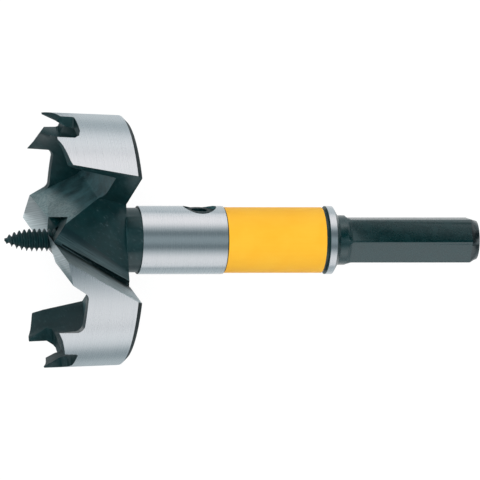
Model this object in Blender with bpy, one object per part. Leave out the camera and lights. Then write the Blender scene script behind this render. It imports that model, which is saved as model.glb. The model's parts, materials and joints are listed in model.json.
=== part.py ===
"""Self-feed wood boring bit: toothed cutter head, ground body, hex shank, lead screw, set screw and band.

The bit is drawn along its own axis: +X runs from the tooth tips to the shank end, and angles are turned
about X from +Z. At the end it is tipped over to lie as it rests, on its wings and the end of its shank.
"""
import math

import bmesh
import bpy
from mathutils import Matrix, Vector

for old in list(bpy.data.objects):
    bpy.data.objects.remove(old, do_unlink=True)

MM = 0.001

# Head
HEAD_RADIUS = 32.55 * MM
HEAD_TAPER = 0.7 * MM
HEAD_LENGTH = 20.6 * MM
HEAD_CHAMFER = 1.25 * MM
RIM_LAND = 0.45 * MM
RIM_BEVEL_DEPTH = 4.5 * MM
RIM_WALL = 2.75 * MM
RIM_ROOT_WALL = 4.75 * MM
WINGS = 2

# Body and shank
NECK_RADIUS = 8.25 * MM
NECK_END = 24.4 * MM
BODY_RADIUS = 8.72 * MM
BODY_END = 46.4 * MM
GROOVE_RADIUS = 7.7 * MM
COLLAR_START = 73.2 * MM
COLLAR_END = 74.9 * MM
SHANK_RADIUS = 6.35 * MM
SHANK_START = 76.3 * MM
HEX_START = 78.3 * MM
HEX_RUNOUT = 1.2 * MM
HEX_SIDES = 6
HEX_FLATS = 11.11 * MM
HEX_TURN = math.radians(-5.3)
SHANK_END = 112.9 * MM
END_CHAMFER_LENGTH = 2.1 * MM
END_CHAMFER_RADIUS = 4.95 * MM

# Flute between two wings
RAKE_OFFSET = 2.3 * MM
RAKE_FLARE_SLOPE = 0.254
RAKE_HELIX_SLOPE = 0.586
LIP_DEPTH = 0.65 * MM
LIP_RELIEF_SLOPE = 0.249
TRAIL_OFFSET = 10.9 * MM
TRAIL_FLARE_SLOPE = 0.305
TRAIL_HELIX_SLOPE = 0.195
TRAIL_DEPTH = 3.0 * MM
FLOOR_HEIGHT = 9.25 * MM
FLOOR_AXIAL_SLOPE = 0.115
FLOOR_SIDE_SLOPE = 0.2
LEDGE_HEIGHT = 10.5 * MM
LEDGE_AXIAL_SLOPE = 0.252
LEDGE_SIDE_SLOPE = 0.394
ROOT_GROOVE_START = 3.0 * MM
ROOT_GROOVE_OFFSET = 0.5 * MM
ROOT_GROOVE_START_RADIUS = 0.2 * MM
ROOT_GROOVE_RADIUS = 0.95 * MM

# Pocket behind the blade of each lip
BLADE_BACK_OFFSET = 2.97 * MM
BLADE_BACK_FLARE_SLOPE = 0.236
BLADE_BACK_HELIX_SLOPE = 0.677
POCKET_DEPTH = 14.5 * MM
POCKET_FILLET = 4.0 * MM

# Recess round the foot of the lead screw
GASH_DEPTH = 1.3 * MM
GASH_FLOOR_SLOPE = 0.75
GASH_SIDE = 5.85 * MM
GASH_START = 1.3 * MM
GASH_SLOPE = 0.66

# Rim teeth, as angles behind the direction of the lip
TOOTH_ANGLE = math.radians(46.3)
TOOTH_PITCH = math.radians(41.1)
TEETH = 3
TOOTH_HEEL = math.radians(17.0)
TOOTH_HEEL_DROP = 3.0 * MM
TOOTH_INWARD_RISE_SLOPE = 0.6
TOOTH_RAKE = math.radians(40.0)
GULLET_DEPTH = 6.4 * MM
GULLET_WALL = math.radians(18.5)
GULLET_CORNER_DEPTH = 1.8 * MM
GULLET_CORNER = math.radians(5.5)
GULLET_CORNER_SHARE = 0.33
GULLET_FILLET = 2.0 * MM
HEEL_STEPS = 3

# Lead screw and set screw
THREAD_RADIUS = 2.82 * MM
THREAD_PITCH = 1.3 * MM
THREAD_DEPTH = 0.6 * MM
THREAD_TIP = 10.2 * MM
THREAD_TAPER = 7.3 * MM
THREAD_END = 4.3 * MM
THREAD_NOSE_POWER = 1.8
THREAD_FLANK_POWER = 0.62
FEED_SHANK_RADIUS = 3.175 * MM
FEED_SHANK_END = 43.5 * MM
FEED_FLAT = 0.6 * MM
FEED_FLAT_LENGTH = 10.0 * MM
SET_SCREW_RADIUS = 3.95 * MM
SET_SCREW_PLACE = 40.3 * MM
SET_SCREW_TURN = math.radians(79.0)
SET_SCREW_SINK = 0.9 * MM
SOCKET_FLATS = 3.97 * MM
SOCKET_DEPTH = 2.4 * MM
BAND_THICKNESS = 0.4 * MM
BAND_END = 72.2 * MM

# Gaps, overruns and facets
FIT_GAP = 0.3 * MM
OVERRUN = 2.0 * MM
CUT_REACH = HEAD_RADIUS + HEAD_RADIUS
HEAD_SIDES = 96
STEM_SIDES = 72
BORE_SIDES = 36
GROOVE_SIDES = 18
THREAD_SIDES = 20
THREAD_STEPS = 6
FILLET_SIDES = 4


def finish_mesh(name, bm, material=None):
    """Turns a bmesh into an object with outward faces, shaded smooth where it is round."""
    bmesh.ops.recalc_face_normals(bm, faces=bm.faces)
    mesh = bpy.data.meshes.new(name)
    bm.to_mesh(mesh)
    bm.free()
    mesh.shade_smooth()
    mesh.set_sharp_from_angle(angle=math.radians(25.0))
    part = bpy.data.objects.new(name, mesh)
    bpy.context.scene.collection.objects.link(part)
    if material:
        mesh.materials.append(material)
    return part


def finish_material(name, colour, roughness, metallic):
    """A plain Principled material."""
    material = bpy.data.materials.new(name)
    material.use_nodes = True
    shader = material.node_tree.nodes["Principled BSDF"]
    shader.inputs["Base Color"].default_value = (*colour, 1.0)
    shader.inputs["Roughness"].default_value = roughness
    shader.inputs["Metallic"].default_value = metallic
    return material


def on_axis(along, radius, turn):
    """A point at a distance along the bit, a radius, and an angle from +Z towards +Y."""
    return Vector((along, radius * math.sin(turn), radius * math.cos(turn)))


def ring_stack(name, rings, sides, material=None):
    """Skins rings of (distance along, radius or function of angle) into one closed turned solid."""
    bm = bmesh.new()
    loops = []
    for along, radius in rings:
        loop = []
        for k in range(sides):
            turn = math.tau * k / sides
            reach = radius(turn) if callable(radius) else radius
            loop.append(bm.verts.new(on_axis(along, reach, turn)))
        loops.append(loop)
    for first, second in zip(loops, loops[1:]):
        for k in range(sides):
            nxt = (k + 1) % sides
            bm.faces.new((first[k], first[nxt], second[nxt], second[k]))
    bm.faces.new(loops[0])
    bm.faces.new(reversed(loops[-1]))
    return finish_mesh(name, bm, material)


def plane_solid(name, planes, reach):
    """A convex solid: a large block cut down by planes, each a point and its outward direction."""
    bm = bmesh.new()
    bmesh.ops.create_cube(bm, size=reach + reach)
    for point, outward in planes:
        every = bm.verts[:] + bm.edges[:] + bm.faces[:]
        cut = bmesh.ops.bisect_plane(
            bm, geom=every, plane_co=point, plane_no=outward, clear_outer=True
        )
        rim = [item for item in cut["geom_cut"] if isinstance(item, bmesh.types.BMEdge)]
        bmesh.ops.contextual_create(bm, geom=rim)
    return finish_mesh(name, bm)


def planes_meet(first, second, third):
    """The point where three planes cross."""
    planes = (first, second, third)
    rows = Matrix([outward for point, outward in planes])
    heights = Vector([outward.dot(point) for point, outward in planes])
    return rows.inverted() @ heights


def rod(name, start, end, radii, sides):
    """A round or many-sided rod between two points, with a radius at each end."""
    run = end - start
    place = Matrix.Translation((start + end) / 2) @ run.to_track_quat("Z", "X").to_matrix().to_4x4()
    bm = bmesh.new()
    bmesh.ops.create_cone(
        bm,
        cap_ends=True,
        segments=sides,
        radius1=radii[0],
        radius2=radii[1],
        depth=run.length,
        matrix=place,
    )
    return finish_mesh(name, bm)


def loft(name, first, second):
    """Joins two outlines of as many points into a closed solid with triangular sides."""
    bm = bmesh.new()
    near = [bm.verts.new(point) for point in first]
    far = [bm.verts.new(point) for point in second]
    count = len(near)
    for k in range(count):
        nxt = (k + 1) % count
        bm.faces.new((near[k], near[nxt], far[nxt]))
        bm.faces.new((near[k], far[nxt], far[k]))
    for cap in (near, far):
        bmesh.ops.triangulate(bm, faces=[bm.faces.new(cap)])
    return finish_mesh(name, bm)


def as_guide(part):
    """Marks an object as a cutter that is not part of the bit."""
    part.hide_render = True
    part.display_type = "WIRE"
    return part


def combine(part, other, operation):
    """Adds an exact Boolean of another object to a part."""
    step = part.modifiers.new(other.name, "BOOLEAN")
    step.operation = operation
    step.solver = "EXACT"
    step.object = other
    as_guide(other)


def half_turn(part, wing):
    """A copy of a cutter turned round the axis to the given wing."""
    if wing == 0:
        return part
    copy = part.copy()
    copy.name = f"{part.name}_{wing}"
    bpy.context.scene.collection.objects.link(copy)
    copy.matrix_world = Matrix.Rotation(math.tau * wing / WINGS, 4, "X")
    return copy


# Planes that the cutters share, for the wing on the -Y side


def rake_plane(shift=0.0):
    """The face of the lip: it flares outwards and leans back along the bit."""
    point = Vector((LIP_DEPTH, RAKE_OFFSET + shift, 0.0))
    outward = Vector((-RAKE_HELIX_SLOPE, -1.0, -RAKE_FLARE_SLOPE))
    return point, outward


def trailing_plane():
    """The tail of the other wing, across the flute."""
    point = Vector((TRAIL_DEPTH, TRAIL_OFFSET, 0.0))
    outward = Vector((TRAIL_HELIX_SLOPE, 1.0, -TRAIL_FLARE_SLOPE))
    return point, outward


def ledge_plane():
    """The strip of the flute's floor beside the rake face."""
    point = Vector((0.0, 0.0, LEDGE_HEIGHT))
    return point, Vector((-LEDGE_AXIAL_SLOPE, -LEDGE_SIDE_SLOPE, -1.0))


def flute_cutter():
    """The chip space between the rake face and the tail of the other wing."""
    floor_point = Vector((0.0, 0.0, FLOOR_HEIGHT))
    floor_out = Vector((-FLOOR_AXIAL_SLOPE, -FLOOR_SIDE_SLOPE, -1.0))
    planes = [
        rake_plane(),
        trailing_plane(),
        (floor_point, floor_out),
        ledge_plane(),
        depth_plane(HEAD_LENGTH + OVERRUN),
        front_plane(),
    ]
    return plane_solid("flute", planes, CUT_REACH)


def root_groove_cutter():
    """The relief that the grinding wheel leaves along the root of the rake face."""
    wall = rake_plane(ROOT_GROOVE_OFFSET)
    start = planes_meet(wall, ledge_plane(), depth_plane(ROOT_GROOVE_START))
    end = planes_meet(wall, ledge_plane(), depth_plane(HEAD_LENGTH + OVERRUN))
    radii = (ROOT_GROOVE_START_RADIUS, ROOT_GROOVE_RADIUS)
    return rod("root_groove", start, end, radii, GROOVE_SIDES)


def blade_back_plane(shift=0.0):
    """The back of the blade that carries the lip, nearly parallel to its rake face."""
    point = Vector((0.0, shift - BLADE_BACK_OFFSET, 0.0))
    outward = Vector((BLADE_BACK_HELIX_SLOPE, 1.0, BLADE_BACK_FLARE_SLOPE))
    return point, outward


def front_plane():
    """Ends a cutter clear of the tooth tips."""
    return Vector((-OVERRUN, 0.0, 0.0)), Vector((-1.0, 0.0, 0.0))


def depth_plane(depth):
    """A floor square to the bit at a distance behind the tooth tips."""
    return Vector((depth, 0.0, 0.0)), Vector((1.0, 0.0, 0.0))


def fillet_planes(first, second, radius):
    """Planes that round the edge between two planes of a convex cutter."""
    normals = [first[1].normalized(), second[1].normalized()]
    seam = normals[0].cross(normals[1])
    corner = planes_meet(first, second, (Vector((0.0, 0.0, 0.0)), seam))
    centre = corner - (normals[0] + normals[1]) * radius / (1.0 + normals[0].dot(normals[1]))
    planes = []
    for k in range(1, FILLET_SIDES):
        normal = normals[0].slerp(normals[1], k / FILLET_SIDES)
        planes.append((centre + normal * radius, normal))
    return planes


def lip_cutter():
    """Takes the front of the wing down to the relief face behind the cutting edge."""
    edge_turn = Vector((0.0, 1.0, RAKE_FLARE_SLOPE)).normalized()
    point = Vector((LIP_DEPTH, RAKE_OFFSET, 0.0))
    relief = Vector((1.0, edge_turn.y * LIP_RELIEF_SLOPE, edge_turn.z * LIP_RELIEF_SLOPE))
    heel_point, heel_out = blade_back_plane(-FIT_GAP)
    inner = (Vector((0.0, 0.0, -GASH_START)), Vector((0.0, GASH_SLOPE, -1.0)))
    planes = [(point, relief), (heel_point, -heel_out), front_plane(), inner]
    return plane_solid("lip_relief", planes, CUT_REACH)


def gash_cutter():
    """The notch that clears the foot of the lead screw, beside the other wing's lip."""
    floor = (Vector((GASH_DEPTH, 0.0, 0.0)), Vector((1.0, -GASH_FLOOR_SLOPE, 0.0)))
    side = (Vector((0.0, GASH_SIDE, 0.0)), Vector((0.0, 1.0, 0.0)))
    wall = (Vector((0.0, 0.0, -GASH_START)), Vector((0.0, -GASH_SLOPE, -1.0)))
    planes = [rake_plane(), floor, front_plane(), side, wall]
    return plane_solid("gash", planes, CUT_REACH)


def hollow_guide():
    """The space inside the rim, which limits the pockets."""
    rings = [
        (-OVERRUN, HEAD_RADIUS - RIM_LAND + OVERRUN),
        (0.0, HEAD_RADIUS - RIM_LAND),
        (RIM_BEVEL_DEPTH, HEAD_RADIUS - RIM_WALL),
        (POCKET_DEPTH, HEAD_RADIUS - RIM_ROOT_WALL),
        (HEAD_LENGTH, HEAD_RADIUS - RIM_ROOT_WALL),
    ]
    return as_guide(ring_stack("rim_hollow", rings, HEAD_SIDES))


def pocket_cutter(hollow):
    """The pocket behind the blade, kept inside the rim."""
    wall = blade_back_plane()
    floor = depth_plane(POCKET_DEPTH)
    planes = [wall, floor, front_plane(), *fillet_planes(wall, floor, POCKET_FILLET)]
    pocket = plane_solid("pocket", planes, CUT_REACH)
    combine(pocket, hollow, "INTERSECT")
    return pocket


def tooth_rake_plane(tip):
    """The raked front face of a tooth, parallel to the bit and leaning back inwards."""
    lean = tip - TOOTH_RAKE
    outward = Vector((0.0, -math.cos(lean), -math.sin(lean)))
    return on_axis(0.0, HEAD_RADIUS, -tip), outward


def lip_gullet_cutter():
    """The gap between the back of the blade and the first tooth."""
    wall = blade_back_plane()
    floor = depth_plane(GULLET_DEPTH)
    rake = tooth_rake_plane(TOOTH_ANGLE)
    side = (Vector((0.0, 0.0, 0.0)), Vector((0.0, 0.0, -1.0)))
    planes = [wall, floor, rake, front_plane(), side]
    planes += fillet_planes(wall, floor, GULLET_FILLET) + fillet_planes(floor, rake, GULLET_FILLET)
    return plane_solid("gullet_lip", planes, CUT_REACH)


def rim_points(outline, depth):
    """Outline points of (angle, distance along, rake share, rise share), moved inwards by a depth."""
    points = []
    for turn, along, rake_share, rise_share in outline:
        shift = math.tan(TOOTH_RAKE) * rake_share * depth / HEAD_RADIUS
        rise = TOOTH_INWARD_RISE_SLOPE * rise_share * depth
        points.append(on_axis(along - rise, HEAD_RADIUS - depth, -(turn + shift)))
    return points


def gullet_cutter(name, outline):
    """A gap between two teeth, widening inwards behind the raked face of the next tooth."""
    chord_rise = HEAD_RADIUS / math.cos(TOOTH_PITCH / 2) - HEAD_RADIUS
    outer = rim_points(outline, -chord_rise - OVERRUN)
    inner = rim_points(outline, RIM_ROOT_WALL + OVERRUN)
    return loft(name, outer, inner)


def gullet_end(tip):
    """The round corner of a gap and the raked face of the tooth that ends it."""
    share = GULLET_CORNER_SHARE
    return [
        (tip - GULLET_CORNER, GULLET_DEPTH, 1.0, 0.0),
        (tip - GULLET_CORNER * share, GULLET_DEPTH - GULLET_CORNER_DEPTH * share, 1.0, 0.0),
        (tip, GULLET_DEPTH - GULLET_CORNER_DEPTH, 1.0, 0.0),
        (tip, -HEAD_LENGTH, 1.0, 0.0),
    ]


def gullet_outline(start, tip):
    """The gap that starts at one tooth's tip and ends at the raked face of the next."""
    return [
        (start, 0.0, 0.0, 1.0),
        (start + TOOTH_HEEL, TOOTH_HEEL_DROP, 0.0, 1.0),
        (start + GULLET_WALL, GULLET_DEPTH, 0.0, 0.0),
        *gullet_end(tip),
        (start, -HEAD_LENGTH, 0.0, 0.0),
    ]


def heel_outline(start):
    """The relief behind the last tooth, out past the tail of the wing."""
    turns = [start + TOOTH_PITCH * k / HEEL_STEPS for k in range(HEEL_STEPS + 1)]
    slope = TOOTH_HEEL_DROP / TOOTH_HEEL
    relief = [(turn, (turn - start) * slope, 0.0, 1.0) for turn in turns]
    front = [(turn, -HEAD_LENGTH, 0.0, 0.0) for turn in reversed(turns)]
    return relief + front


def tooth_cutters():
    """All the gaps of one wing's rim."""
    cutters = [lip_gullet_cutter()]
    for k in range(TEETH):
        start = TOOTH_ANGLE + TOOTH_PITCH * k
        if k + 1 < TEETH:
            outline = gullet_outline(start, start + TOOTH_PITCH)
        else:
            outline = heel_outline(start)
        cutters.append(gullet_cutter(f"gullet_{k}", outline))
    return cutters


def hex_reach(share):
    """Radius of the shank at each angle, from round (0) to fully milled hex (1)."""
    flat = HEX_FLATS / 2
    depth = SHANK_RADIUS + (flat - SHANK_RADIUS) * share
    sector = math.tau / HEX_SIDES

    def reach(turn):
        off = (turn - HEX_TURN) % sector - sector / 2
        return min(SHANK_RADIUS, depth / math.cos(off))

    return reach


def chamfer_reach(limit):
    """The hex trimmed by the turned chamfer at the shank end."""
    full = hex_reach(1.0)
    return lambda turn: min(limit, full(turn))


def stem():
    """Neck, ground body, band groove, collar and hex shank, in one turning."""
    root = NECK_RADIUS - OVERRUN
    runout_shares = (0.35, 0.75, 1.0)
    rings = [
        (HEAD_LENGTH - OVERRUN, root),
        (HEAD_LENGTH - FIT_GAP, root),
        (HEAD_LENGTH - FIT_GAP, NECK_RADIUS),
        (NECK_END, NECK_RADIUS),
        (NECK_END, BODY_RADIUS),
        (BODY_END, BODY_RADIUS),
        (BODY_END, GROOVE_RADIUS),
        (COLLAR_START, GROOVE_RADIUS),
        (COLLAR_START, BODY_RADIUS),
        (COLLAR_END, BODY_RADIUS),
        (SHANK_START, SHANK_RADIUS),
        (HEX_START, SHANK_RADIUS),
    ]
    rings += [
        (HEX_START + HEX_RUNOUT * share * share, hex_reach(share)) for share in runout_shares
    ]
    rings += [
        (SHANK_END - END_CHAMFER_LENGTH, hex_reach(1.0)),
        (SHANK_END, chamfer_reach(END_CHAMFER_RADIUS)),
    ]
    return ring_stack("stem", rings, STEM_SIDES)


def side_rod(name, radius, inner, outer, sides):
    """A rod along the set screw, from one distance from the axis to another."""
    start = on_axis(SET_SCREW_PLACE, inner, SET_SCREW_TURN)
    end = on_axis(SET_SCREW_PLACE, outer, SET_SCREW_TURN)
    return rod(name, start, end, (radius, radius), sides)


def cutter_body(material):
    """The one-piece steel cutter: turned blank, then flutes, pockets, teeth, bore and side hole."""
    back_radius = HEAD_RADIUS - HEAD_TAPER
    rings = [
        (0.0, HEAD_RADIUS),
        (HEAD_LENGTH - HEAD_CHAMFER, back_radius),
        (HEAD_LENGTH, back_radius - HEAD_CHAMFER),
    ]
    body = ring_stack("cutter_body", rings, HEAD_SIDES, material)
    hollow = hollow_guide()
    cutters = [flute_cutter(), root_groove_cutter(), lip_cutter(), gash_cutter()]
    cutters += [pocket_cutter(hollow), *tooth_cutters()]
    for cutter in cutters:
        for wing in range(WINGS):
            combine(body, half_turn(cutter, wing), "DIFFERENCE")
    combine(body, stem(), "UNION")
    bore_radius = FEED_SHANK_RADIUS + FIT_GAP
    bore_rings = [(-OVERRUN, bore_radius), (FEED_SHANK_END + FIT_GAP, bore_radius)]
    combine(body, ring_stack("feed_bore", bore_rings, BORE_SIDES), "DIFFERENCE")
    hole_radius = SET_SCREW_RADIUS + FIT_GAP
    hole = side_rod("set_screw_hole", hole_radius, 0.0, BODY_RADIUS + OVERRUN, BORE_SIDES)
    combine(body, hole, "DIFFERENCE")
    return body


def thread_reach(along, turn):
    """Radius of the lead screw's thread: a sharp V on a core that tapers to the point."""
    taper_share = min(1.0, (along + THREAD_TIP) / THREAD_TAPER)
    swell = (1.0 - (1.0 - taper_share) ** THREAD_NOSE_POWER) ** THREAD_FLANK_POWER
    phase = (along / THREAD_PITCH + turn / math.tau) % 1.0
    valley = abs(2.0 * phase - 1.0)
    return swell * (THREAD_RADIUS - THREAD_DEPTH * valley)


def feed_screw(material):
    """Threaded point and plain shank, with a flat for the set screw."""
    length = THREAD_TIP + THREAD_END
    steps = round(length / THREAD_PITCH * THREAD_STEPS)
    rings = []
    for k in range(1, steps + 1):
        along = -THREAD_TIP + length * k / steps
        rings.append((along, lambda turn, along=along: thread_reach(along, turn)))
    rings += [(THREAD_END + FIT_GAP, FEED_SHANK_RADIUS), (FEED_SHANK_END, FEED_SHANK_RADIUS)]
    screw = ring_stack("feed_screw", rings, THREAD_SIDES, material)
    seat = FEED_SHANK_RADIUS - FEED_FLAT
    flat = plane_solid(
        "feed_flat",
        [
            (Vector((SET_SCREW_PLACE - FEED_FLAT_LENGTH / 2, 0.0, 0.0)), Vector((-1.0, 0.0, 0.0))),
            (on_axis(0.0, seat, SET_SCREW_TURN), -on_axis(0.0, 1.0, SET_SCREW_TURN)),
        ],
        HEAD_LENGTH + FEED_SHANK_END,
    )
    combine(screw, flat, "DIFFERENCE")
    return screw


def set_screw(material):
    """Socket set screw, bearing on the flat of the lead screw."""
    foot = FEED_SHANK_RADIUS - FEED_FLAT + FIT_GAP
    top = BODY_RADIUS - SET_SCREW_SINK
    screw = side_rod("set_screw", SET_SCREW_RADIUS, foot, top, BORE_SIDES)
    screw.data.materials.append(material)
    socket_radius = SOCKET_FLATS / 2 / math.cos(math.pi / HEX_SIDES)
    socket = side_rod("socket", socket_radius, top - SOCKET_DEPTH, top + OVERRUN, HEX_SIDES)
    combine(screw, socket, "DIFFERENCE")
    return screw


def colour_band(material):
    """Thin sleeve that wraps the body in its groove."""
    inner = GROOVE_RADIUS + FIT_GAP
    outer = inner + BAND_THICKNESS
    start = BODY_END + FIT_GAP
    bm = bmesh.new()
    corners = ((start, inner), (start, outer), (BAND_END, outer), (BAND_END, inner))
    loops = []
    for along, radius in corners:
        turns = (math.tau * k / STEM_SIDES for k in range(STEM_SIDES))
        loops.append([bm.verts.new(on_axis(along, radius, turn)) for turn in turns])
    for first, second in zip(loops, loops[1:] + loops[:1]):
        for k in range(STEM_SIDES):
            nxt = (k + 1) % STEM_SIDES
            bm.faces.new((first[k], first[nxt], second[nxt], second[k]))
    return finish_mesh("colour_band", bm, material)


def world_points(parts):
    """Every vertex of the finished parts, as placed."""
    graph = bpy.context.evaluated_depsgraph_get()
    points = []
    for part in parts:
        solid = part.evaluated_get(graph)
        mesh = solid.to_mesh()
        points += [part.matrix_world @ vertex.co for vertex in mesh.vertices]
        solid.to_mesh_clear()
    return points


def lay_down(parts):
    """Tips the bit onto its wings and shank end, with the middle of its box's foot at the origin."""
    points = world_points(parts)
    heel = Vector((SHANK_END - END_CHAMFER_LENGTH, 0.0, -SHANK_RADIUS))
    head = [point for point in points if point.x < HEAD_LENGTH]
    tilt = max(math.atan2(heel.z - point.z, heel.x - point.x) for point in head)
    axis = bpy.data.objects.new("bit_axis", None)
    bpy.context.scene.collection.objects.link(axis)
    turn = Matrix.Rotation(tilt, 4, "Y")
    laid = [turn @ point for point in points]
    low = Vector(min(point[k] for point in laid) for k in range(3))
    high = Vector(max(point[k] for point in laid) for k in range(3))
    foot = Vector((-(low.x + high.x) / 2, -(low.y + high.y) / 2, -low.z))
    axis.matrix_world = Matrix.Translation(foot) @ turn
    for solid in bpy.data.objects:
        if solid.type == "MESH":
            solid.parent = axis


black_oxide = finish_material("black_oxide_steel", (0.012, 0.02, 0.022), 0.42, 0.85)
screw_steel = finish_material("blackened_screw_steel", (0.01, 0.014, 0.015), 0.5, 0.85)
yellow_label = finish_material("yellow_label", (0.93, 0.53, 0.05), 0.4, 0.0)
lay_down(
    [
        cutter_body(black_oxide),
        feed_screw(screw_steel),
        set_screw(screw_steel),
        colour_band(yellow_label),
    ]
)
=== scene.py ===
import json
import math

import bpy
from mathutils import Matrix, Vector
from mathutils.geometry import intersect_point_line


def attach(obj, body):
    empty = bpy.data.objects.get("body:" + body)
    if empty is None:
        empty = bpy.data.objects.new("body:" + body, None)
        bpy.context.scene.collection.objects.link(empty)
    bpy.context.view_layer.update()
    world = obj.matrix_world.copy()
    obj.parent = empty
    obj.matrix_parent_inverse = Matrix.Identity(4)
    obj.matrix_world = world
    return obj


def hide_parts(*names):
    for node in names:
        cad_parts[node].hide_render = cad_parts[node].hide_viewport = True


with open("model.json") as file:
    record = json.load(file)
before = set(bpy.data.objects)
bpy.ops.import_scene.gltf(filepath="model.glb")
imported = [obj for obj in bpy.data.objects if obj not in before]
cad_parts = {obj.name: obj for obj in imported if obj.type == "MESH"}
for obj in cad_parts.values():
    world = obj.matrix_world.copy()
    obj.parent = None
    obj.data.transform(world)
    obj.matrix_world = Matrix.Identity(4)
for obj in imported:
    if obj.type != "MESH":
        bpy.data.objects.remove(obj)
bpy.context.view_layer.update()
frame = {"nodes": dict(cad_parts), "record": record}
print("frame loaded")

mm = 0.001

# The bit's own axis, found from the end of its shank. Starts are measured along it from the tooth tips
bit = {
    "length": 112.9 * mm,          # tooth tips to shank end
    "headRadius": 32.55 * mm,
    "headBackRadius": 31.85 * mm,
    "headLength": 20.6 * mm,
    "bodyRadius": 8.72 * mm,
    "bodyStart": 24.4 * mm,
    "shankStart": 75.5 * mm,
    "endChamferStart": 110.9 * mm,
}
rimTaper = (bit["headRadius"] - bit["headBackRadius"]) / bit["headLength"]
shankEnd = next(mount for mount in frame["record"]["mounts"] if mount["name"] == "shank_end")
bitDirection = Vector(shankEnd["axis"])
bitTilt = math.atan2(-bitDirection.z, bitDirection.x)
bitOrigin = Vector(shankEnd["pos_m"]) - bitDirection * bit["length"]
toWorld = Matrix.Translation(bitOrigin) @ Matrix.Rotation(bitTilt, 4, "Y")
toBit = toWorld.inverted()


# Helpers for materials

noiseLow, noiseHigh = 0.3, 0.7     # most of a noise lies between these


def linearColour(hexColour):
    channels = [int(hexColour[k:k + 2], 16) / 255 for k in (1, 3, 5)]
    linear = [c / 12.92 if c <= 0.04045 else ((c + 0.055) / 1.055) ** 2.4 for c in channels]
    return (*linear, 1.0)


def addNode(tree, kind, settings=None, inputs=None):
    node = tree.nodes.new(kind)
    for name, value in (settings or {}).items():
        setattr(node, name, value)
    for key, value in (inputs or {}).items():
        if isinstance(value, bpy.types.NodeSocket):
            tree.links.new(value, node.inputs[key])
        else:
            node.inputs[key].default_value = value
    return node


def setRamp(ramp, stops):
    elements = ramp.color_ramp.elements
    while len(elements) < len(stops):
        elements.new(1.0)
    for element, (place, colour) in zip(elements, stops):
        element.position = place
        element.color = colour


def newMaterial(name):
    material = bpy.data.materials.new(name)
    material.use_nodes = True
    tree = material.node_tree
    return material, tree, tree.nodes["Principled BSDF"]


def bitCoordinates(tree):  # X runs along the bit, Y and Z across it
    place = addNode(tree, "ShaderNodeTexCoord")
    turned = addNode(tree, "ShaderNodeMapping", {"vector_type": "TEXTURE"}, {
        "Vector": place.outputs["Object"],
        "Location": bitOrigin,
        "Rotation": (0.0, bitTilt, 0.0),
    })
    return turned.outputs["Vector"]


def finishSurface(tree, shader, finish, colour, wear, relief):  # wear gives the roughness, relief the bump
    low, high = finish["roughness"]
    rough = addNode(tree, "ShaderNodeMapRange", None, {
        "Value": wear, "From Min": noiseLow, "From Max": noiseHigh, "To Min": low, "To Max": high,
    })
    bump = addNode(tree, "ShaderNodeBump", None, {
        "Height": relief, "Strength": finish["bump"], "Distance": finish["bumpHeight"],
    })
    tree.links.new(colour, shader.inputs["Base Color"])
    tree.links.new(rough.outputs["Result"], shader.inputs["Roughness"])
    tree.links.new(bump.outputs["Normal"], shader.inputs["Normal"])


# Ground steel: cylindrically ground and left bright, so it shows a soft sheen with fine lines round the axis
groundSteel = {
    "dark": "#D2D6DA",
    "light": "#DADDE1",
    "roughness": (0.265, 0.295),
    "linePitch": 0.2 * mm,         # real grinding lines are near 0.05 mm, drawn coarser so that they show
    "lineTurnShare": 0.25,         # how much of a turn a line lasts
    "bump": 0.0015,
    "bumpHeight": 0.02 * mm,
}


def grindLines(tree, finish):  # noise drawn out round the axis, as a grinding wheel leaves it
    parts = addNode(tree, "ShaderNodeSeparateXYZ", None, {"Vector": bitCoordinates(tree)})
    angle = addNode(tree, "ShaderNodeMath", {"operation": "ARCTAN2"}, {
        0: parts.outputs["Y"], 1: parts.outputs["Z"],
    })
    along = addNode(tree, "ShaderNodeMath", {"operation": "DIVIDE"}, {
        0: parts.outputs["X"], 1: finish["linePitch"],
    })
    around = addNode(tree, "ShaderNodeMath", {"operation": "DIVIDE"}, {
        0: angle.outputs[0], 1: math.tau * finish["lineTurnShare"],
    })
    place = addNode(tree, "ShaderNodeCombineXYZ", None, {"X": along.outputs[0], "Y": around.outputs[0]})
    return addNode(tree, "ShaderNodeTexNoise", {"noise_dimensions": "2D"}, {
        "Vector": place.outputs[0], "Scale": 1.0, "Detail": 3.0, "Roughness": 0.6,
    }).outputs["Fac"]


def makeGroundSteel(finish):
    material, tree, shader = newMaterial("cylindrically_ground_steel")
    lines = grindLines(tree, finish)
    colour = addNode(tree, "ShaderNodeValToRGB", None, {"Fac": lines})
    setRamp(colour, [(noiseLow, linearColour(finish["dark"])), (noiseHigh, linearColour(finish["light"]))])
    finishSurface(tree, shader, finish, colour.outputs["Color"], lines, lines)
    shader.inputs["Metallic"].default_value = 1.0
    return material


# Black oxide: a hot alkaline bath grows a thin skin of magnetite, green-black, satin and slightly clouded
blackOxide = {
    "dark": "#022022",
    "light": "#052D2F",
    "glossTint": "#E8F6FB",
    "ior": 1.68,                   # magnetite is 2.4, but the bath's skin is porous and oiled
    "cloudSize": 2.5 * mm,
    "cloudShare": (0.32, 0.68),    # where the cloud noise is fully dark, and fully light
    "grainSize": 0.3 * mm,         # near 0.1 mm on the real one, drawn coarser so that it shows
    "roughness": (0.28, 0.4),
    "bump": 0.1,
    "bumpHeight": 0.03 * mm,
    "scuff": "#5B7276",
    "scuffSize": (1.3 * mm, 0.11 * mm),    # how long and how thin a scratch is
    "scuffTurn": (0.5, 0.4, -0.6),
    "scuffShare": (0.63, 0.77),    # where the noise passes this, the skin is scratched through
}


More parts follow.
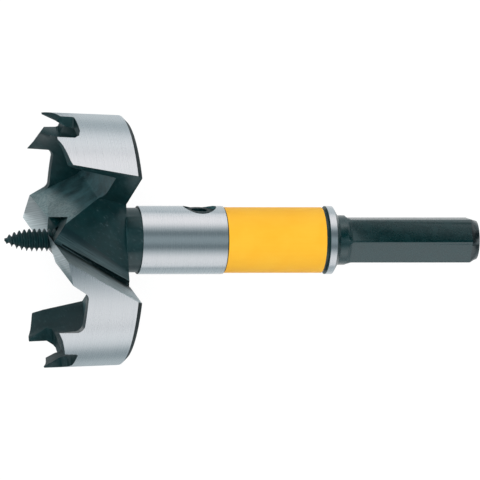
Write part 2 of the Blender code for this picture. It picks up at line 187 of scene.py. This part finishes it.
def makeBlackOxide(name, finish):
    material, tree, shader = newMaterial(name)
    place = bitCoordinates(tree)
    clouds = addNode(tree, "ShaderNodeTexNoise", None, {
        "Vector": place, "Scale": 1.0 / finish["cloudSize"], "Detail": 5.0, "Roughness": 0.65,
    }).outputs["Fac"]
    grain = addNode(tree, "ShaderNodeTexNoise", None, {
        "Vector": place, "Scale": 1.0 / finish["grainSize"], "Detail": 2.0, "Roughness": 0.5,
    }).outputs["Fac"]
    long, thin = finish["scuffSize"]
    stretched = addNode(tree, "ShaderNodeMapping", {"vector_type": "TEXTURE"}, {
        "Vector": place, "Rotation": finish["scuffTurn"], "Scale": (long, thin, long),
    })
    scratches = addNode(tree, "ShaderNodeTexNoise", None, {
        "Vector": stretched.outputs["Vector"], "Scale": 1.0, "Detail": 2.0, "Roughness": 0.6,
    }).outputs["Fac"]
    first, full = finish["scuffShare"]
    scuffed = addNode(tree, "ShaderNodeMapRange", None, {
        "Value": scratches, "From Min": first, "From Max": full,
    })
    darkest, lightest = finish["cloudShare"]
    skin = addNode(tree, "ShaderNodeValToRGB", None, {"Fac": clouds})
    setRamp(skin, [(darkest, linearColour(finish["dark"])), (lightest, linearColour(finish["light"]))])
    colour = addNode(tree, "ShaderNodeMix", {"data_type": "RGBA"}, {
        "Factor": scuffed.outputs["Result"], "A": skin.outputs["Color"], "B": linearColour(finish["scuff"]),
    })
    finishSurface(tree, shader, finish, colour.outputs["Result"], clouds, grain)
    shader.inputs["IOR"].default_value = finish["ior"]
    shader.inputs["Specular Tint"].default_value = linearColour(finish["glossTint"])
    return material


# Shank oxide: the same bath on smooth drawn hex bar, so it shines more and its grain is finer
shankOxide = dict(
    blackOxide, dark="#022325", light="#052D2F", ior=1.95, roughness=(0.24, 0.3),
    grainSize=0.2 * mm, bump=0.04, scuffShare=(0.95, 1.0),
)

# Turned oxide: the shank's end was chamfered smooth before the bath, so it shows little but what it mirrors
turnedOxide = dict(shankOxide, dark="#010D0F", light="#021416")

# Worn and highlit edge: the sharp corners are drawn a little brighter, partly the oxide worn thin there and
# partly a painted edge highlight
wornAndHighlitEdge = dict(blackOxide, dark="#3B4B4E", light="#5F7073", ior=2.4, cloudSize=1.2 * mm)

# Groove oxide: the relief grooves and the rim's back chamfer are drawn nearly black, as painted shade
shadedGrooveOxide = dict(blackOxide, dark="#010D0F", light="#02181A", ior=1.4, roughness=(0.5, 0.6))

# Screw black: hardened steel, with a finer and more matt oxide
screwBlack = dict(blackOxide, ior=1.9, roughness=(0.4, 0.55), grainSize=0.15 * mm)

# Set screw black: its gloss is dimmed, so it looks darker and hardly shines
setScrewBlack = dict(
    screwBlack, dark="#04181B", light="#0C2A2F", glossTint="#5A666B", ior=1.35, roughness=(0.5, 0.6),
)

# Pocket oxide: left as milled, so it scatters more light, looks paler and has broad clouds
pocketOxide = dict(
    blackOxide, dark="#0A2E33", light="#3F6A6F", ior=1.5, roughness=(0.42, 0.52), cloudSize=5.0 * mm,
    scuffSize=(0.5 * mm, 0.14 * mm), scuffShare=(0.56, 0.7),
)

# Highlight patch: a painted highlight, a pale speckled patch on the pocket behind the lip
paintedHighlightPatch = {
    "colour": "#93A5A6",
    "middle": (4.2 * mm, 8.5 * mm, 0.0),   # along the bit, and out to either side of its axis
    "reach": (1.5 * mm, 6.0 * mm),         # fully pale within the first, and not at all past the second
    "speckle": 0.7 * mm,                   # the marks are near 0.1 mm, drawn coarser so that they show
    "speckleShare": (0.42, 0.57),
    # the painted highlight's share where the speckle is faintest
    "leastHighlight": 0.4,
}


def paintPocketHighlight(material, finish):
    tree = material.node_tree
    shader = tree.nodes["Principled BSDF"]
    skin = shader.inputs["Base Color"].links[0].from_socket
    place = bitCoordinates(tree)
    parts = addNode(tree, "ShaderNodeSeparateXYZ", None, {"Vector": place})
    out = addNode(tree, "ShaderNodeMath", {"operation": "ABSOLUTE"}, {0: parts.outputs["Y"]})
    flat = addNode(tree, "ShaderNodeCombineXYZ", None, {"X": parts.outputs["X"], "Y": out.outputs[0]})
    distance = addNode(tree, "ShaderNodeVectorMath", {"operation": "DISTANCE"}, {
        0: flat.outputs[0], 1: finish["middle"],
    })
    near, far = finish["reach"]
    patch = addNode(tree, "ShaderNodeMapRange", {"interpolation_type": "SMOOTHSTEP"}, {
        "Value": distance.outputs["Value"], "From Min": near, "From Max": far, "To Min": 1.0, "To Max": 0.0,
    })
    speckles = addNode(tree, "ShaderNodeTexNoise", None, {
        "Vector": place, "Scale": 1.0 / finish["speckle"], "Detail": 4.0, "Roughness": 0.7,
    }).outputs["Fac"]
    # where the speckle noise passes these, the painted highlight goes from its least share to full
    thin, bare = finish["speckleShare"]
    speckled = addNode(tree, "ShaderNodeMapRange", None, {
        "Value": speckles, "From Min": thin, "From Max": bare, "To Min": finish["leastHighlight"], "To Max": 1.0,
    })
    share = addNode(tree, "ShaderNodeMath", {"operation": "MULTIPLY"}, {
        0: patch.outputs["Result"], 1: speckled.outputs["Result"],
    })
    colour = addNode(tree, "ShaderNodeMix", {"data_type": "RGBA"}, {
        "Factor": share.outputs[0], "A": skin, "B": linearColour(finish["colour"]),
    })
    tree.links.new(colour.outputs["Result"], shader.inputs["Base Color"])


# Lip steel: sharpened on a wheel after the bath, so bare, with lines along the cutting edge
lipSteel = {
    "dark": "#ADBDC1",
    "light": "#D9E5E8",
    "metallic": 1.0,
    "ior": 1.5,
    "lineWidth": 0.16 * mm,        # near 0.05 mm on the real one, drawn coarser so that they show
    "lineLength": 6.0 * mm,
    "lineTurn": math.radians(-30.1),   # which way the rake face runs, in the bit's own X and Y
    "roughness": (0.42, 0.56),
    "bump": 0.06,
    "bumpHeight": 0.02 * mm,
}

# Rake steel: the lip steel drawn lighter, as painted light on a face the light only grazes, with painted
# shade darkening the foot of the rake face and fading out towards the edge
rakeSteel = dict(
    lipSteel, dark="#B4C2C6", light="#EAF2F4",
    shade="#162427", shadeBand=(-1.9 * mm, 0.0),   # across the lines, from the unshaded part to the foot in full painted shade
)

# Ledge oxide: ground before the bath, so the lines show through the thin skin
ledgeOxide = dict(
    lipSteel, dark="#06252A", light="#4A6367", metallic=0.0, ior=1.6, roughness=(0.3, 0.42),
    # painted shade: across the lines the ledge darkens to its shade colour, fully past the band's second end
    shade="#06252A", shadeBand=(1.8 * mm, 4.0 * mm),
)


def makeLipSteel(name, finish):
    material, tree, shader = newMaterial(name)
    parts = addNode(tree, "ShaderNodeSeparateXYZ", None, {"Vector": bitCoordinates(tree)})
    wing = addNode(tree, "ShaderNodeMath", {"operation": "SIGN"}, {0: parts.outputs["Z"]})
    across = addNode(tree, "ShaderNodeMath", {"operation": "MULTIPLY"}, {
        0: parts.outputs["Y"], 1: wing.outputs[0],
    })
    onUpperWing = addNode(tree, "ShaderNodeCombineXYZ", None, {
        "X": parts.outputs["X"], "Y": across.outputs[0],
    })
    turned = addNode(tree, "ShaderNodeMapping", {"vector_type": "TEXTURE"}, {
        "Vector": onUpperWing.outputs[0],
        "Rotation": (0.0, 0.0, finish["lineTurn"]),
        "Scale": (finish["lineLength"], finish["lineWidth"], 1.0),
    })
    lines = addNode(tree, "ShaderNodeTexNoise", {"noise_dimensions": "2D"}, {
        "Vector": turned.outputs["Vector"], "Scale": 1.0, "Detail": 3.0, "Roughness": 0.6,
    }).outputs["Fac"]
    ground = addNode(tree, "ShaderNodeValToRGB", None, {"Fac": lines})
    setRamp(ground, [(noiseLow, linearColour(finish["dark"])), (noiseHigh, linearColour(finish["light"]))])
    colour = ground.outputs["Color"]
    # Painted shade: across the lines, the colour turns to the shade colour over the shade band
    if "shade" in finish:
        linePlace = addNode(tree, "ShaderNodeSeparateXYZ", None, {"Vector": turned.outputs["Vector"]})
        unshaded, foot = [place / finish["lineWidth"] for place in finish["shadeBand"]]
        shaded = addNode(tree, "ShaderNodeMapRange", {"interpolation_type": "SMOOTHSTEP"}, {
            "Value": linePlace.outputs["Y"], "From Min": unshaded, "From Max": foot,
        })
        colour = addNode(tree, "ShaderNodeMix", {"data_type": "RGBA"}, {
            "Factor": shaded.outputs["Result"], "A": colour, "B": linearColour(finish["shade"]),
        }).outputs["Result"]
    finishSurface(tree, shader, finish, colour, lines, lines)
    shader.inputs["Metallic"].default_value = finish["metallic"]
    shader.inputs["IOR"].default_value = finish["ior"]
    return material


# Yellow label: a vinyl sleeve with a satin face, slightly uneven in colour
yellowLabel = {
    "dark": "#FEB930",
    "light": "#FFBE36",
    "cloudSize": 6.0 * mm,
    "cloudShare": (0.35, 0.65),
    "roughness": 0.45,
    "glossLevel": 0.15,
}


def makeYellowLabel(finish):
    material, tree, shader = newMaterial("satin_yellow_vinyl")
    clouds = addNode(tree, "ShaderNodeTexNoise", None, {
        "Vector": bitCoordinates(tree), "Scale": 1.0 / finish["cloudSize"], "Detail": 2.0,
    }).outputs["Fac"]
    darkest, lightest = finish["cloudShare"]
    colour = addNode(tree, "ShaderNodeValToRGB", None, {"Fac": clouds})
    setRamp(colour, [(darkest, linearColour(finish["dark"])), (lightest, linearColour(finish["light"]))])
    tree.links.new(colour.outputs["Color"], shader.inputs["Base Color"])
    shader.inputs["Roughness"].default_value = finish["roughness"]
    shader.inputs["Specular IOR Level"].default_value = finish["glossLevel"]
    return material


cutterFinishes = {
    "black": makeBlackOxide("black_oxide_steel", blackOxide),
    "ground": makeGroundSteel(groundSteel),
    "worn_highlit": makeBlackOxide("worn_highlit_black_oxide_edge", wornAndHighlitEdge),
    "relief": makeLipSteel("wheel_ground_lip_steel", lipSteel),
    "rake": makeLipSteel("wheel_ground_rake_steel", rakeSteel),
    "ledge": makeLipSteel("ground_and_blackened_ledge", ledgeOxide),
    "groove": makeBlackOxide("oiled_black_oxide_groove", shadedGrooveOxide),
    "pocket": makeBlackOxide("as_milled_black_oxide", pocketOxide),
    "shank": makeBlackOxide("black_oxide_drawn_bar", shankOxide),
    "end": makeBlackOxide("black_oxide_turned_end", turnedOxide),
}
# paints a pale highlight patch into the pocket's colour
paintPocketHighlight(cutterFinishes["pocket"], paintedHighlightPatch)
cutterSlots = list(cutterFinishes)
screwBlackMaterial = makeBlackOxide("blackened_screw_steel", screwBlack)
setScrewMaterial = makeBlackOxide("dim_gloss_set_screw_steel", setScrewBlack)
yellowLabelMaterial = makeYellowLabel(yellowLabel)
print("materials made")


# Helpers for pieces

weldDistance = 0.004 * mm


def selectOnly(piece):
    bpy.ops.object.select_all(action="DESELECT")
    piece.select_set(True)
    bpy.context.view_layer.objects.active = piece


def copyOfNode(node, name):
    selectOnly(frame["nodes"][node])
    bpy.ops.object.duplicate()
    piece = bpy.context.view_layer.objects.active
    piece.name = name
    piece.parent = None
    piece.data.materials.clear()
    return piece


def joinTriangles():  # in edit mode, joins the loose triangles of a copied solid and leaves them all selected
    bpy.ops.mesh.select_all(action="SELECT")
    bpy.ops.mesh.remove_doubles(threshold=weldDistance)


def applyModifier(piece, kind, settings):
    selectOnly(piece)
    modifier = piece.modifiers.new(kind.lower(), kind)
    for name, value in settings.items():
        setattr(modifier, name, value)
    bpy.ops.object.modifier_apply(modifier=modifier.name)


def finishPiece(piece, node):
    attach(piece, "root")
    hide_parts(node)


# Cutter body: the solid, with its facets joined, its edges broken and each face given its finish
lipCorner = Vector((0.65, 2.3, 0.0)) * mm          # the inner end of the lip, where its two ground faces meet
footCorner = Vector((3.0, -1.17, 10.2)) * mm       # where the ledge meets the foot of the rake face
cutter = {
    "flatAngle": math.radians(0.4),
    "edgeAngle": math.radians(24.0),
    "edgeBreak": 0.16 * mm,
    "rimDepth": 0.25 * mm,         # how far below the turned outside a ground face may lie
    "radialShare": 0.985,          # how nearly it looks straight out from the axis
    # flat faces of one wing, each with the way it looks and one of its corners
    "relief": (Vector((-1.0, -0.241, -0.061)).normalized(), lipCorner),
    "rake": (Vector((0.586, 1.0, 0.254)).normalized(), lipCorner),
    "ledge": (Vector((0.252, 0.394, 1.0)).normalized(), footCorner),
    "toothFlank": (Vector((-0.09, 0.495, 0.864)).normalized(), Vector((4.38, 27.89, -13.8)) * mm),
    "sameWay": 0.995,              # how nearly a face has to look that way
    "samePlane": 0.3 * mm,         # how near to that plane it has to lie
    "pocketStart": 4.5 * mm,
    "pocketRadius": 28.0 * mm,
    "pocketLean": -0.5,            # how far its faces look forward
    "rimBackStart": 19.0 * mm,     # the chamfer round the rim's back edge
    "rimBackRadius": 31.0 * mm,
    "rimBackLean": 0.4,
    # the relief groove along the foot of the rake face above the axis
    "grooveStart": footCorner,
    "grooveEnd": Vector((22.6, -12.54, 9.74)) * mm,
    "grooveRadius": (0.2 * mm, 0.95 * mm),
    "grooveMargin": 0.3 * mm,
}


def isGround(place, normal):
    across = Vector((0.0, place.y, place.z))
    radius = across.length
    outward = normal.dot(across / radius) if radius else 0.0
    if outward < cutter["radialShare"]:
        return False
    if place.x < bit["headLength"]:
        return radius > bit["headRadius"] - rimTaper * place.x - cutter["rimDepth"]
    return radius > bit["bodyRadius"] - cutter["rimDepth"] and place.x > bit["bodyStart"]


def onOtherWing(point):
    return Vector((point.x, -point.y, -point.z))


def liesOn(place, normal, face):  # on the plane of that face, on either wing
    direction, corner = face
    for point, way in ((place, normal), (onOtherWing(place), onOtherWing(normal))):
        apart = abs((point - corner).dot(direction))
        if way.dot(direction) > cutter["sameWay"] and apart < cutter["samePlane"]:
            return True
    return False


def inGroove(place):
    if place.z < 0.0:
        place = onOtherWing(place)
    nearest, share = intersect_point_line(place, cutter["grooveStart"], cutter["grooveEnd"])
    narrow, wide = cutter["grooveRadius"]
    radius = narrow + (wide - narrow) * share
    return share > 0.0 and (place - nearest).length < radius + cutter["grooveMargin"]


def inPocket(place, normal):  # what the mill cut away behind the lips, looking forward
    inside = place.x > cutter["pocketStart"] and math.hypot(place.y, place.z) < cutter["pocketRadius"]
    return inside and normal.x < cutter["pocketLean"]


def atRimBack(place, normal):
    outside = place.x > cutter["rimBackStart"] and math.hypot(place.y, place.z) > cutter["rimBackRadius"]
    return outside and normal.x > cutter["rimBackLean"]


def finishOf(place, normal, now):  # the finish of a face, which has black oxide or a worn and highlit edge now
    if isGround(place, normal):
        return "ground"
    for name in ("relief", "rake", "ledge"):
        if liesOn(place, normal, cutter[name]):
            return name
    # the grooves and the rim's back chamfer take the finish drawn nearly black as painted shade
    if inGroove(place) or atRimBack(place, normal):
        return "groove"
    if liesOn(place, normal, cutter["toothFlank"]):  # as smooth as the shank
        return "shank"
    if inPocket(place, normal):
        return "pocket"
    if place.x > bit["endChamferStart"]:
        return "end"
    if place.x > bit["shankStart"] and now == "black":
        return "shank"
    return now


def roundOff(piece):  # ground faces are shaded as the true cone and cylinder that their flats stand for
    turnBack = toWorld.to_3x3()
    normals = [corner.vector.copy() for corner in piece.data.corner_normals]
    for face in piece.data.polygons:
        if cutterSlots[face.material_index] != "ground":
            continue
        for corner in face.loop_indices:
            place = toBit @ piece.data.vertices[piece.data.loops[corner].vertex_index].co
            across = Vector((0.0, place.y, place.z)).normalized()
            across.x = rimTaper if place.x < bit["bodyStart"] else 0.0
            normals[corner] = (turnBack @ across).normalized()
    piece.data.normals_split_custom_set(normals)


def makeCutterBody():
    piece = copyOfNode("cutter_body", "ground_cutter_body")
    bpy.ops.object.mode_set(mode="EDIT")
    joinTriangles()
    bpy.ops.mesh.dissolve_limited(angle_limit=cutter["flatAngle"])
    bpy.ops.object.mode_set(mode="OBJECT")
    for material in cutterFinishes.values():
        piece.data.materials.append(material)
    applyModifier(piece, "BEVEL", {
        "width": cutter["edgeBreak"],
        "segments": 2,
        "limit_method": "ANGLE",
        "angle_limit": cutter["edgeAngle"],
        "miter_outer": "MITER_ARC",
        # the broken edges take the worn edge finish, with its painted highlight
        "material": cutterSlots.index("worn_highlit"),
    })
    turn = toBit.to_3x3()
    for face in piece.data.polygons:
        finish = finishOf(toBit @ face.center, turn @ face.normal, cutterSlots[face.material_index])
        face.material_index = cutterSlots.index(finish)
    bpy.ops.object.shade_smooth_by_angle(angle=cutter["edgeAngle"])
    roundOff(piece)
    finishPiece(piece, "cutter_body")


makeCutterBody()
print("cutter body finished")


# Feed screw: the thread's crests are drawn thin and its roots deep and round, out to the very point
feedScrew = {
    "cuts": 3,                     # how finely the solid's faces are cut up before they are shaped
    "crestRadius": 2.93 * mm,
    "pitch": 1.3 * mm,
    "depth": 0.95 * mm,
    "depthShare": 0.5,             # of the radius, at the point, where the thread is shallower
    "tip": 10.2 * mm,              # ahead of the tooth tips
    "taper": 7.3 * mm,
    "end": 4.3 * mm,               # behind the tooth tips
    "nosePower": 1.8,              # with the next one, how full the point is
    "flankPower": 0.62,
    "crestPower": 1.7,             # above 1, the crests are thin and the roots wide
    "smoothAngle": math.radians(50.0),
}


def threadRadius(along, turn):
    taperShare = min(1.0, (along + feedScrew["tip"]) / feedScrew["taper"])
    nose = 1.0 - (1.0 - taperShare) ** feedScrew["nosePower"]
    crest = feedScrew["crestRadius"] * nose ** feedScrew["flankPower"]
    depth = min(feedScrew["depth"], feedScrew["depthShare"] * crest)
    phase = (along / feedScrew["pitch"] + turn / math.tau) % 1.0
    crestShare = 1.0 - abs(2.0 * phase - 1.0)
    return crest - depth * (1.0 - crestShare ** feedScrew["crestPower"])


def makeFeedScrew():
    piece = copyOfNode("feed_screw", "threaded_feed_screw")
    bpy.ops.object.mode_set(mode="EDIT")
    joinTriangles()
    bpy.ops.mesh.subdivide(number_cuts=feedScrew["cuts"])
    bpy.ops.object.mode_set(mode="OBJECT")
    for vertex in piece.data.vertices:
        place = toBit @ vertex.co
        if place.x > feedScrew["end"]:
            continue
        turn = math.atan2(place.y, place.z)
        radius = max(threadRadius(place.x, turn), 0.0)
        vertex.co = toWorld @ Vector((place.x, radius * math.sin(turn), radius * math.cos(turn)))
    piece.data.materials.append(screwBlackMaterial)
    bpy.ops.object.shade_smooth_by_angle(angle=feedScrew["smoothAngle"])
    finishPiece(piece, "feed_screw")


makeFeedScrew()
print("feed screw threaded")

# The set screw and the sleeve show as their own solids
for name, material in (
    ("set_screw", setScrewMaterial),
    ("colour_band", yellowLabelMaterial),
):
    node = frame["nodes"][name]
    node.data.materials.clear()
    node.data.materials.append(material)
print("set screw and band given their finish")


# Studio: the camera looks almost straight down from far away, over a pale floor
studio = {
    "cameraDistance": 2.6,         # metres
    "cameraLean": math.radians(1.7),
    "cameraTarget": Vector((-0.5 * mm, 0.0, 30.0 * mm)),
    "pictureWidth": 122.16 * mm,
    "sensorWidth": 36.0,           # millimetres, as Blender counts it
    "floorSize": 6.0,              # metres
    "floorColour": "#F4F4F4",
    "floorGlow": 1.08,
    "glowShare": 0.85,             # the rest is lit, so that the shadow shows
    "coolness": (1.22, 1.0, 0.94),     # powers of a grey's red, green and blue, so the darker, the cooler
    # how bright the floor looks in the metal, across the bit and along it, out to the reach
    "floorReach": 300.0 * mm,
    "floorAcross": (
        (-220 * mm, 0.95), (-125 * mm, 0.8), (-92 * mm, 0.27), (-68 * mm, 0.22), (-54 * mm, 0.5),
        (-30 * mm, 0.5), (-10 * mm, 0.9), (10 * mm, 0.9), (30 * mm, 0.6), (54 * mm, 0.65),
        (68 * mm, 0.4), (92 * mm, 0.42), (125 * mm, 0.8), (220 * mm, 0.95),
    ),
    "floorAlong": ((-56 * mm, 0.12), (-42 * mm, 1.0), (180 * mm, 1.0), (260 * mm, 0.05)),
    # degrees from overhead towards +Y, and how bright the sky is there
    "skyAcross": (
        (-62, 0.98), (-40, 0.5), (-26, 0.1), (-9, 0.4), (9, 0.4), (25, 0.1), (40, 0.45), (60, 1.1),
    ),
    # the part of a direction that runs along +X, and the share of that brightness left there
    "skyAlong": (
        (-0.85, 0.8), (-0.6, 0.4), (-0.38, 0.4), (-0.25, 0.03), (-0.04, 1.0), (0.68, 1.0), (0.78, 0.03),
    ),
    # cards that show only in reflections: a white and a grey one under the lips, a black one beside the shank
    "cards": {
        "white_card": {
            "size": (22.0 * mm, 22.0 * mm),
            "place": (-66.5 * mm, -4.0 * mm, 0.5 * mm),
            "lean": 0.0,
            "glow": 1.1,
        },
        "grey_card": {
            "size": (22.0 * mm, 6.0 * mm),
            "place": (-66.5 * mm, 10.0 * mm, 0.5 * mm),
            "lean": 0.0,
            "glow": 0.4,
        },
        "black_card": {
            "size": (70.0 * mm, 46.0 * mm),
            "place": (80.0 * mm, 22.0 * mm, 45.5 * mm),
            "lean": math.radians(-52.0),
            "glow": 0.0,
        },
    },
    # each softbox's metres to the side and its watts, then the size and the height of both in metres
    "softboxes": ((0.55, 17.4), (-0.55, 14.8)),
    "softboxSize": 1.4,
    "softboxHeight": 1.75,
}


def makeCamera():
    lean = studio["cameraLean"]
    away = Vector((math.sin(lean), 0.0, math.cos(lean))) * studio["cameraDistance"]
    bpy.ops.object.camera_add(location=studio["cameraTarget"] + away, rotation=(0.0, lean, 0.0))
    camera = bpy.context.object
    camera.data.sensor_width = studio["sensorWidth"]
    camera.data.lens = studio["sensorWidth"] * studio["cameraDistance"] / studio["pictureWidth"]
    camera.data.clip_end = studio["floorSize"] + studio["cameraDistance"]
    bpy.context.scene.camera = camera


def coolGrey(level):
    return (*(level ** power for power in studio["coolness"]), 1.0)


def greyRamp(tree, value, low, high, stops):  # a grey level along a value, each stop in the value's own unit
    share = addNode(tree, "ShaderNodeMapRange", None, {"Value": value, "From Min": low, "From Max": high})
    ramp = addNode(tree, "ShaderNodeValToRGB", None, {"Fac": share.outputs["Result"]})
    setRamp(ramp, [((at - low) / (high - low), coolGrey(level)) for at, level in stops])
    return ramp.outputs["Color"]


def makeFloor():  # white to the camera, and in the metal grey, with a dark strip at either side and dark ends
    bpy.ops.mesh.primitive_plane_add(size=studio["floorSize"])
    floor = bpy.context.object
    floor.name = "studio_floor"
    material, tree, shader = newMaterial("matt_white_floor")
    shader.inputs["Base Color"].default_value = linearColour(studio["floorColour"])
    shader.inputs["Roughness"].default_value = 1.0
    rays = addNode(tree, "ShaderNodeLightPath")
    place = addNode(tree, "ShaderNodeTexCoord")
    parts = addNode(tree, "ShaderNodeSeparateXYZ", None, {"Vector": place.outputs["Object"]})
    reach = studio["floorReach"]
    inMetal = addNode(tree, "ShaderNodeMix", {"data_type": "RGBA", "blend_type": "MULTIPLY"}, {
        "Factor": 1.0,
        "A": greyRamp(tree, parts.outputs["Y"], -reach, reach, studio["floorAcross"]),
        "B": greyRamp(tree, parts.outputs["X"], -reach, reach, studio["floorAlong"]),
    })
    mirrored = addNode(tree, "ShaderNodeMath", {"operation": "MAXIMUM"}, {
        0: rays.outputs["Is Glossy Ray"], 1: rays.outputs["Is Transmission Ray"],
    })
    seen = addNode(tree, "ShaderNodeMath", {"operation": "MAXIMUM"}, {
        0: rays.outputs["Is Camera Ray"], 1: mirrored.outputs[0],
    })
    colour = addNode(tree, "ShaderNodeMix", {"data_type": "RGBA"}, {
        "Factor": mirrored.outputs[0],
        "A": (1.0, 1.0, 1.0, 1.0),
        "B": inMetal.outputs["Result"],
    })
    glow = addNode(tree, "ShaderNodeEmission", None, {
        "Color": colour.outputs["Result"], "Strength": studio["floorGlow"],
    })
    share = addNode(tree, "ShaderNodeMath", {"operation": "MULTIPLY"}, {
        0: seen.outputs[0], 1: studio["glowShare"],
    })
    mix = addNode(tree, "ShaderNodeMixShader", None, {
        "Fac": share.outputs[0], 1: shader.outputs[0], 2: glow.outputs[0],
    })
    tree.links.new(mix.outputs[0], tree.nodes["Material Output"].inputs["Surface"])
    floor.data.materials.append(material)


def makeCard(name, finish):
    bpy.ops.mesh.primitive_plane_add(size=1.0, location=finish["place"], rotation=(finish["lean"], 0.0, 0.0))
    card = bpy.context.object
    card.name = name
    card.scale = (*finish["size"], 1.0)
    card.visible_camera = False
    card.visible_diffuse = False
    card.visible_shadow = False
    material, tree, _ = newMaterial(f"{name}_face")
    glow = addNode(tree, "ShaderNodeEmission", None, {"Strength": finish["glow"]})
    tree.links.new(glow.outputs[0], tree.nodes["Material Output"].inputs["Surface"])
    card.data.materials.append(material)


def makeSky():  # bright along both sides with a dim strip overhead, and darker ahead of the bit and behind it
    world = bpy.data.worlds.new("studio_sky")
    world.use_nodes = True
    tree = world.node_tree
    place = addNode(tree, "ShaderNodeTexCoord")
    parts = addNode(tree, "ShaderNodeSeparateXYZ", None, {"Vector": place.outputs["Generated"]})
    angle = addNode(tree, "ShaderNodeMath", {"operation": "ARCTAN2"}, {
        0: parts.outputs["Y"], 1: parts.outputs["Z"],
    })
    degrees = addNode(tree, "ShaderNodeMath", {"operation": "DEGREES"}, {0: angle.outputs[0]})
    level = addNode(tree, "ShaderNodeMix", {"data_type": "RGBA", "blend_type": "MULTIPLY"}, {
        "Factor": 1.0,
        "A": greyRamp(tree, degrees.outputs[0], -180.0, 180.0, studio["skyAcross"]),
        "B": greyRamp(tree, parts.outputs["X"], -1.0, 1.0, studio["skyAlong"]),
    })
    tree.links.new(level.outputs["Result"], tree.nodes["Background"].inputs["Color"])
    bpy.context.scene.world = world


def makeSoftbox(aside, power):  # evens out what is matt, and stays out of the reflections
    height = studio["softboxHeight"]
    tilt = (-math.atan2(aside, height), 0.0, 0.0)
    bpy.ops.object.light_add(type="AREA", location=(0.0, aside, height), rotation=tilt)
    light = bpy.context.object
    light.data.size = studio["softboxSize"]
    light.data.energy = power
    light.visible_glossy = False


makeCamera()
makeFloor()
for name, finish in studio["cards"].items():
    makeCard(name, finish)
makeSky()
for aside, power in studio["softboxes"]:
    makeSoftbox(aside, power)
bpy.context.scene.view_settings.view_transform = "Standard"
print("studio set")
